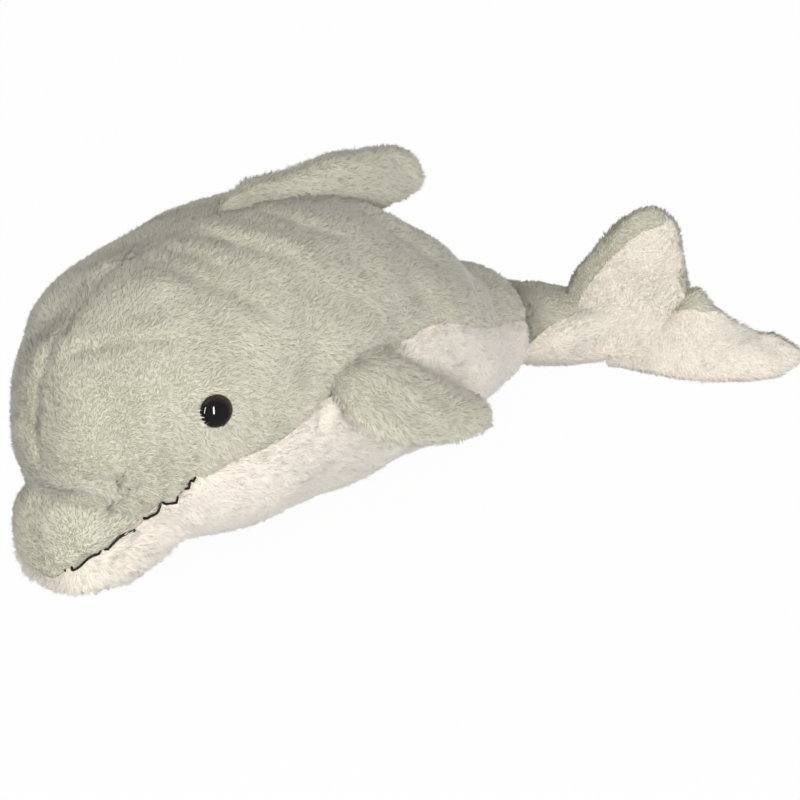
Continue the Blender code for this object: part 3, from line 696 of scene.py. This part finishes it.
def make_pile(skin, seed):
    """The pile of one cut: roots spread evenly, combed, gathered in locks and toned, with painted shade
    along creases and painted light on some cuts.
    """
    length, lean, width, clump, least, most = next(
        v for k, v in NAP.items() if skin.name.startswith(k))
    rng = np.random.default_rng(seed)
    p, n = skin.points, skin.normals()
    flow = np.gradient(p, axis=0)
    flow[0], flow[-1] = flow[1], flow[-2]
    cell = np.linalg.norm(np.cross(p[1:, :-1] - p[:-1, :-1], p[:-1, 1:] - p[:-1, :-1]), axis=-1) / 2
    cell += np.linalg.norm(np.cross(p[1:, :-1] - p[1:, 1:], p[:-1, 1:] - p[1:, 1:]), axis=-1) / 2
    count = int(cell.sum() * DENSITY)
    picked = rng.choice(cell.size, count, p=(cell / cell.sum()).ravel())
    i, j = np.divmod(np.sort(picked), cell.shape[1])
    u, v = rng.random(count)[:, None], rng.random(count)[:, None]

    def at(field):
        return ((field[i, j] * (1 - u) + field[i + 1, j] * u) * (1 - v)
                + (field[i, j + 1] * (1 - u) + field[i + 1, j + 1] * u) * v)

    root, normal, comb = at(p), at(n), at(flow)
    keep = root[:, 2] > 0.0004
    for where, _, _, _ in eye_frames.values():
        keep &= np.linalg.norm(root - where, axis=1) > EYE_RADIUS * 0.90
    for form in next(v for k, v in HIDDEN_IN.items() if skin.name.startswith(k)):
        keep &= ~buried(root, FORMS[form], BURIED_FLUKE if skin.name.startswith("fluke") else BURIED)
    root, normal, comb = root[keep], unit(normal[keep]), comb[keep]
    count = len(root)

    comb = combed(skin, root, comb)
    comb = unit(comb - normal * (comb * normal).sum(1, keepdims=True))

    # locks: each hair leans with its neighbours and its tip is drawn to theirs
    middles = np.sort(rng.choice(count, max(count // clump, 2), replace=False))
    tree = kdtree.KDTree(len(middles))
    for k, m in enumerate(middles):
        tree.insert(root[m], k)
    tree.balance()
    lock = np.fromiter((tree.find(q)[1] for q in root), int, count)
    swirl = 0.50 * waves(root, 0.024, 21) + 0.28 * waves(root, 0.008, 22)
    swirl = swirl + rng.normal(0, 0.45, len(middles))[lock] + rng.normal(0, 0.20, count)
    across = np.cross(normal, comb)
    way = comb * np.cos(swirl)[:, None] + across * np.sin(swirl)[:, None]
    tilt = np.radians(lean + 7 * waves(root, 0.012, 23) + rng.normal(0, 6, len(middles))[lock]
                      + rng.normal(0, 6, count))
    reach = length * (1 + 0.10 * waves(root, 0.03, 24) + rng.normal(0, 0.09, len(middles))[lock]
                      + rng.normal(0, 0.09, count))
    stray = rng.random(count) < STRAY
    tilt[stray] *= 0.55
    reach[stray] *= 1.18
    # the pile laps over the lower front of each eye's rim
    swollen = np.ones(count)
    for where, back, _, _ in eye_frames.values():
        inward = where - root
        far = np.linalg.norm(inward, axis=1)
        low_front = (inward @ unit(np.array(back) * 0.8 + np.array([0, 0, 1.0]))) / far
        lap = (far < EYE_RADIUS * 1.18) & (low_front > 0.30)
        way[lap] = unit(way[lap] * 0.2 + unit(inward[lap]))
        tilt[lap] = np.radians(30)
        reach[lap] *= 1.25
        swollen[lap] = 1.4
    hair = normal * np.cos(tilt)[:, None] + way * np.sin(tilt)[:, None]
    tip = root + hair * reach[:, None]
    gather = tip[middles][lock]
    pull = rng.uniform(least, most, count)[:, None]
    tip = tip + (gather - tip) * pull
    tip[:, 2] = np.maximum(tip[:, 2], PILE_LOW)
    hair = unit(tip - root)

    # a hair is a three sided spike, closed at its root
    first = unit(np.cross(hair, normal + rng.normal(0, 0.2, (count, 3))))
    second = np.cross(hair, first)
    thick = (width * rng.uniform(0.75, 1.25, count) * swollen)[:, None]
    turn0 = rng.uniform(0, 2 * np.pi, count)
    verts, bent = np.empty((count, 4, 3)), np.empty((count, 4, 3))
    for k in range(3):
        a = (turn0 + k * 2 * np.pi / 3)[:, None]
        round_out = first * np.cos(a) + second * np.sin(a)
        verts[:, k] = root - hair * 0.0010 + round_out * thick
        bent[:, k] = unit(normal * SOFT + round_out * (1 - SOFT))
    verts[:, 3] = tip
    bent[:, 3] = unit(normal * SOFT + hair * 0.25)
    tone = (1.0 - TONE_MIDDLE + rng.normal(0, 0.024, len(middles))[lock]
            + rng.normal(0, 0.030, count))
    # a slow wander of tone, and painted light that makes some cuts paler
    tone = tone + 0.02 * waves(root, 0.05, 25) + PAINTED_LIGHT.get(skin.name, 0.0)
    tone -= (DARKER * (rng.random(len(middles)) < DARK_LOCKS))[lock]
    # painted shade: the grey pile is darkened along the creases, with some pressed pile
    if skin.slot == "grey_plush":
        for line, amount, wide in CREASE_SHADE:
            tone -= amount * near_line(root, line, wide)

    parts = max(1, math.ceil(count / MOST))
    for part, chosen in enumerate(np.array_split(np.arange(count), parts)):
        put_hairs(skin, part, parts, verts[chosen], tone[chosen], bent[chosen])


def put_hairs(skin, part, parts, verts, tone, bent):
    """One mesh of hairs, each with its tone, its place on the map and the cloth's light."""
    count = len(verts)
    name = skin.name + "_pile" + ("_" + "abcdefgh"[part] if parts > 1 else "")
    mesh = bpy.data.meshes.new(name)
    mesh.vertices.add(count * 4)
    mesh.vertices.foreach_set("co", verts.astype(np.float32).ravel())
    base = np.arange(count)[:, None] * 4
    faces = np.stack([base + np.array(f) for f in ((0, 2, 1), (0, 1, 3), (1, 2, 3), (2, 0, 3))], 1)
    mesh.loops.add(count * 12)
    mesh.loops.foreach_set("vertex_index", faces.astype(np.int32).ravel())
    mesh.polygons.add(count * 4)
    mesh.polygons.foreach_set("loop_start", np.arange(0, count * 12, 3, dtype=np.int32))
    mesh.update(calc_edges=True)
    for key, values in (("along", np.tile([0.0, 0.0, 0.0, 1.0], count)), ("tone", np.repeat(tone, 4))):
        mesh.attributes.new(key, "FLOAT", "POINT").data.foreach_set("value", values.astype(np.float32))
    # each hair has its own small triangle on the map
    side = math.ceil(math.sqrt(count))
    y, x = np.divmod(np.arange(count), side)
    low = np.stack([x, y], 1)[:, None, None, :] + 0.12
    left, right, top, small = (0.0, 0.0), (0.76, 0.0), (0.38, 0.76), (0.2, 0.02)
    spots = np.array([[left, small, right], [left, right, top], [left, right, top],
                      [left, right, top]])
    uv = (low + spots[None]) / side
    layer = mesh.uv_layers.new(name="OFBake", do_init=False)
    layer.uv.foreach_set("vector", uv.astype(np.float32).ravel())
    mesh.shade_smooth()
    mesh.normals_split_custom_set_from_vertices(bent.reshape(-1, 3).tolist())
    link_mesh(name, mesh, PILE[skin.slot], skin.slot)


for number, skin in enumerate(SKINS):
    make_cover(skin)
    make_pile(skin, 100 + number)


# eyes
def turned(name, profile, around, stem, frame_here, mat, slot, pupil):
    """A round piece turned about its outward direction, closed at both ends."""
    a = np.linspace(0, 2 * np.pi, around, endpoint=False)
    verts = [tuple(stem[0] + stem[2] * profile[0][1])]
    for radius, height in profile[1:-1]:
        here, along, out, side = stem if radius < 0.003 and height < 0.001 else frame_here
        spoke = along * np.cos(a)[:, None] + side * np.sin(a)[:, None]
        verts += [tuple(v) for v in here + out * height + spoke * radius]
    verts.append(tuple(here + out * profile[-1][1]))
    faces, rings = [], len(profile) - 2
    for j in range(around):
        k = (j + 1) % around
        faces.append((0, 1 + k, 1 + j))
        for r in range(rings - 1):
            a0, b0 = 1 + r * around, 1 + (r + 1) * around
            faces.append((a0 + j, a0 + k, b0 + k, b0 + j))
        top = 1 + (rings - 1) * around
        faces.append((top + j, top + k, len(verts) - 1))
    mesh = bpy.data.meshes.new(name)
    mesh.from_pydata(verts, [], faces)
    middle = here + along * pupil[0] + side * pupil[1]
    far = np.array([np.linalg.norm(np.cross(np.array(v) - middle, out)) for v in verts])
    mesh.attributes.new("ring", "FLOAT", "POINT").data.foreach_set("value", far.astype(np.float32))
    mesh.shade_smooth()
    return link_mesh(name, mesh, mat, slot)


eye_mat, eye_shader, eye_tree = shader_of("polished eye", 0.05, Specular_IOR_Level=0.18)
ring = node(eye_tree, "ShaderNodeAttribute", attribute_name="ring")
scale = node(eye_tree, "ShaderNodeMath", operation="DIVIDE")
scale.inputs[1].default_value = EYE_RADIUS * 1.25
eye_tree.links.new(ring.outputs["Fac"], scale.inputs[0])
eye_ramp = node(eye_tree, "ShaderNodeValToRGB")
eye_ramp.color_ramp.elements[0].color = (0.0015, 0.0012, 0.0012, 1)
eye_ramp.color_ramp.elements[1].color = (0.040, 0.028, 0.015, 1)
eye_ramp.color_ramp.elements.new(0.66).color = (0.0018, 0.0014, 0.0012, 1)
eye_ramp.color_ramp.elements.new(0.80).color = (0.022, 0.012, 0.007, 1)
eye_tree.links.new(scale.outputs[0], eye_ramp.inputs["Fac"])
eye_tree.links.new(eye_ramp.outputs["Color"], eye_shader.inputs["Base Color"])

# radius and height from the end of the stem to the top of the dome
dome = [(0, -0.0110), (0.0022, -0.0110), (0.0025, -0.0104), (0.0025, 0.0004), (0.0090, 0.0004),
        (0.0098, 0.0006), (0.0100, 0.0010)]
dome += [(EYE_RADIUS * math.cos(a), 0.0010 + 0.0052 * math.sin(a))
         for a in np.linspace(0.08, math.pi / 2 - 0.06, 15)] + [(0, 0.0062)]
for side, where in eye_frames.items():
    low = -0.0012 if where[3][2] > 0 else 0.0012
    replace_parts(turned("eye_dome_" + side, dome, 48, stem_frames[side], where, eye_mat, "eye",
                       (-0.0024, low)), "eye_" + side)

# mouth thread
thread_mat, thread_shader, thread_tree = shader_of("black thread", 0.75, Specular_IOR_Level=0.15)
speckle(thread_shader, thread_tree, 900.0, 3.0, (0.002, 0.002, 0.002), (0.016, 0.014, 0.012))
THREAD_RADIUS, THREAD_TWIST = 0.00078, 0.0055          # the twist is the length of one turn


def along_form(at, t, angle):
    """Points along a form, with the directions square to it."""
    p = at(t, angle)
    du = at(t + 0.01, angle) - at(t - 0.01, angle)
    dv = at(t, angle + 0.5) - at(t, angle - 0.5)
    n = np.cross(du, dv)
    return p, n / np.linalg.norm(n, axis=-1, keepdims=True)


def thread_piece(name, points, normals, replaced, around=12):
    """Two plies twisted round each other, along a path."""
    ahead = np.gradient(points, axis=0)
    ahead /= np.linalg.norm(ahead, axis=1, keepdims=True)
    across = np.cross(ahead, normals)
    across /= np.linalg.norm(across, axis=1, keepdims=True)
    up = np.cross(across, ahead)
    far = np.r_[0, np.cumsum(np.linalg.norm(np.diff(points, axis=0), axis=1))]
    a = np.linspace(0, 2 * np.pi, around, endpoint=False)
    twist = far[:, None] / THREAD_TWIST * 2 * np.pi
    lobes = THREAD_RADIUS * (0.80 + 0.25 * np.abs(np.cos(a[None] - twist)))
    ends = np.clip(np.minimum(far, far[-1] - far) / THREAD_RADIUS, 0.05, 1) ** 0.5
    ring = (across[:, None] * np.cos(a)[None, :, None] + up[:, None] * np.sin(a)[None, :, None])
    verts = (points[:, None] + ring * (lobes * ends[:, None])[..., None]).reshape(-1, 3)
    faces = []
    for r in range(len(points) - 1):
        for j in range(around):
            k = (j + 1) % around
            faces.append((r * around + j, r * around + k, (r + 1) * around + k, (r + 1) * around + j))
    faces.append(tuple(range(around))[::-1])
    faces.append(tuple((len(points) - 1) * around + j for j in range(around)))
    mesh = bpy.data.meshes.new(name)
    mesh.from_pydata(verts.tolist(), [], faces)
    mesh.shade_smooth()
    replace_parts(link_mesh(name, mesh, thread_mat, "thread"), replaced)


def mouth_path(mirror):
    """The thread on one side of the beak, from the cheek to the front. It dips under the pile."""
    t = np.linspace(4.85, JAW_FROM + 0.06, 170)
    angle = mouth_seam(t)
    shown = np.interp(t, (1.5, 1.62, 1.70, 1.76, 1.95, 2.05, 3.1, 3.2, 3.3, 3.45, 4.4, 4.5, 4.7, 4.85),
                      (-0.8, -0.8, 0.8, -0.8, -0.5, 1, 0.9, 0.6, 0.2, 1, 1, 0, 0, 0.8))
    p, n = along_form(beak_at, t, angle if mirror > 0 else 180 - angle)
    n = n * np.sign((n * (p - np.array([BEAK_TIP + 0.05, 0, 0.030]))).sum(1, keepdims=True))
    return p + n * (-0.0068 + 0.0052 * shown)[:, None], n


left_p, left_n = mouth_path(1)
right_p, right_n = mouth_path(-1)
path, normal = np.concatenate([left_p, right_p[::-1]]), np.concatenate([left_n, right_n[::-1]])
thread_piece("mouth_line_beak", path, normal, "mouth_thread_beak")
for side in ("left", "right"):
    t, angle = CHEEK.T
    share, fine = np.linspace(0, 1, len(t)), np.linspace(0, 1, 90)
    t, angle = np.interp(fine, share, t), np.interp(fine, share, angle)
    shown = np.interp(t, (3.05, 3.1, 3.21, 3.245, 3.275, 3.44, 3.48, 3.56, 3.575, 3.60, 3.62, 3.67),
                      (0.5, 1, 1, 0.3, 1, 1, 0.25, 0.25, 0.9, 0.4, 0.9, 0.5))
    p, n = along_form(body_at, t, angle if side == "left" else 180 - angle)
    middle = body_at(t, np.zeros_like(t)) / 2 + body_at(t, np.full_like(t, 180.0)) / 2
    n = n * np.sign((n * (p - middle)).sum(1, keepdims=True))
    thread_piece("mouth_line_" + side, p + n * (-0.0066 + 0.0056 * shown)[:, None], n,
                 "mouth_thread_" + side)

# hidden pieces kept from the solids
washer_mat, washer_shader, washer_tree = shader_of("moulded washer", 0.5)
speckle(washer_shader, washer_tree, 300.0, 2.0, (0.62, 0.62, 0.60), (0.72, 0.72, 0.70))
for side in ("left", "right"):
    for slot_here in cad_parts["eye_washer_" + side].material_slots:
        slot_here.material = washer_mat


# floor and light
FLOOR_SHOWN = 0.97     # how much of the floor is plain white where it is seen directly
SKY_LIGHT = 0.56       # strength of the light from all round


def seen_directly(tree):
    """1 for rays from the camera, a mirror or glass, 0 for the rays that light the toy."""
    path = node(tree, "ShaderNodeLightPath")
    first_two = node(tree, "ShaderNodeMath", operation="MAXIMUM")
    anything = node(tree, "ShaderNodeMath", operation="MAXIMUM")
    tree.links.new(path.outputs["Is Camera Ray"], first_two.inputs[0])
    tree.links.new(path.outputs["Is Glossy Ray"], first_two.inputs[1])
    tree.links.new(first_two.outputs[0], anything.inputs[0])
    tree.links.new(path.outputs["Is Transmission Ray"], anything.inputs[1])
    return anything.outputs[0]


floor_mesh = bpy.data.meshes.new("floor")
floor_mesh.from_pydata([(-30, -30, 0), (30, -30, 0), (30, 30, 0), (-30, 30, 0)], [], [(0, 1, 2, 3)])
floor = bpy.data.objects.new("floor", floor_mesh)
bpy.context.scene.collection.objects.link(floor)
floor_mat = bpy.data.materials.new("pale floor")
floor_mat.use_nodes = True
tree = floor_mat.node_tree
tree.nodes.clear()
out = node(tree, "ShaderNodeOutputMaterial")
chalk = node(tree, "ShaderNodeBsdfDiffuse", Color=(0.88, 0.88, 0.88, 1))
glow = node(tree, "ShaderNodeEmission", Color=(1, 1, 1, 1), Strength=1.0)
share = node(tree, "ShaderNodeMath", operation="MULTIPLY")
share.inputs[1].default_value = FLOOR_SHOWN
blend = node(tree, "ShaderNodeMixShader")
tree.links.new(seen_directly(tree), share.inputs[0])
tree.links.new(share.outputs[0], blend.inputs["Fac"])
tree.links.new(chalk.outputs[0], blend.inputs[1])
tree.links.new(glow.outputs[0], blend.inputs[2])
tree.links.new(blend.outputs[0], out.inputs["Surface"])
floor_mesh.materials.append(floor_mat)

world = bpy.data.worlds.new("studio")
bpy.context.scene.world = world
world.use_nodes = True
sky = world.node_tree.nodes["Background"]
sky.inputs["Color"].default_value = (1, 1, 1, 1)
bright = node(world.node_tree, "ShaderNodeMapRange", To_Min=SKY_LIGHT, To_Max=1.0)
world.node_tree.links.new(seen_directly(world.node_tree), bright.inputs["Value"])
world.node_tree.links.new(bright.outputs["Result"], sky.inputs["Strength"])


def lamp(name, place, aim, size, power, tall=None):
    """A flat lamp that faces its aim."""
    data = bpy.data.lights.new(name, "AREA")
    data.shape = "RECTANGLE"
    data.size, data.size_y, data.energy = size, tall or size, power
    obj = bpy.data.objects.new(name, data)
    bpy.context.scene.collection.objects.link(obj)
    way = Vector(aim) - Vector(place)
    obj.matrix_world = Matrix.Translation(place) @ way.to_track_quat("-Z", "Y").to_matrix().to_4x4()
    return obj


front = lamp("front softbox", (-1.15, -2.0, 0.62), (0.05, 0, 0.06), 1.1, 43)
front.visible_glossy = False
lamp("top softbox", (-1.2, 0.2, 1.8), (0.0, 0, 0.08), 1.2, 6)
# two narrow windows that show only as catch lights in the eye
eye_middle = Vector((-0.104, -0.078, 0.122))
for name, way in (("left", (-0.945, -0.26, 0.20)), ("right", (-0.350, -0.925, 0.10))):
    strip = lamp("catch light " + name, eye_middle + Vector(way) * 0.9, eye_middle, 0.085, 12.0, 0.52)
    strip.visible_diffuse = False
    strip.visible_camera = False
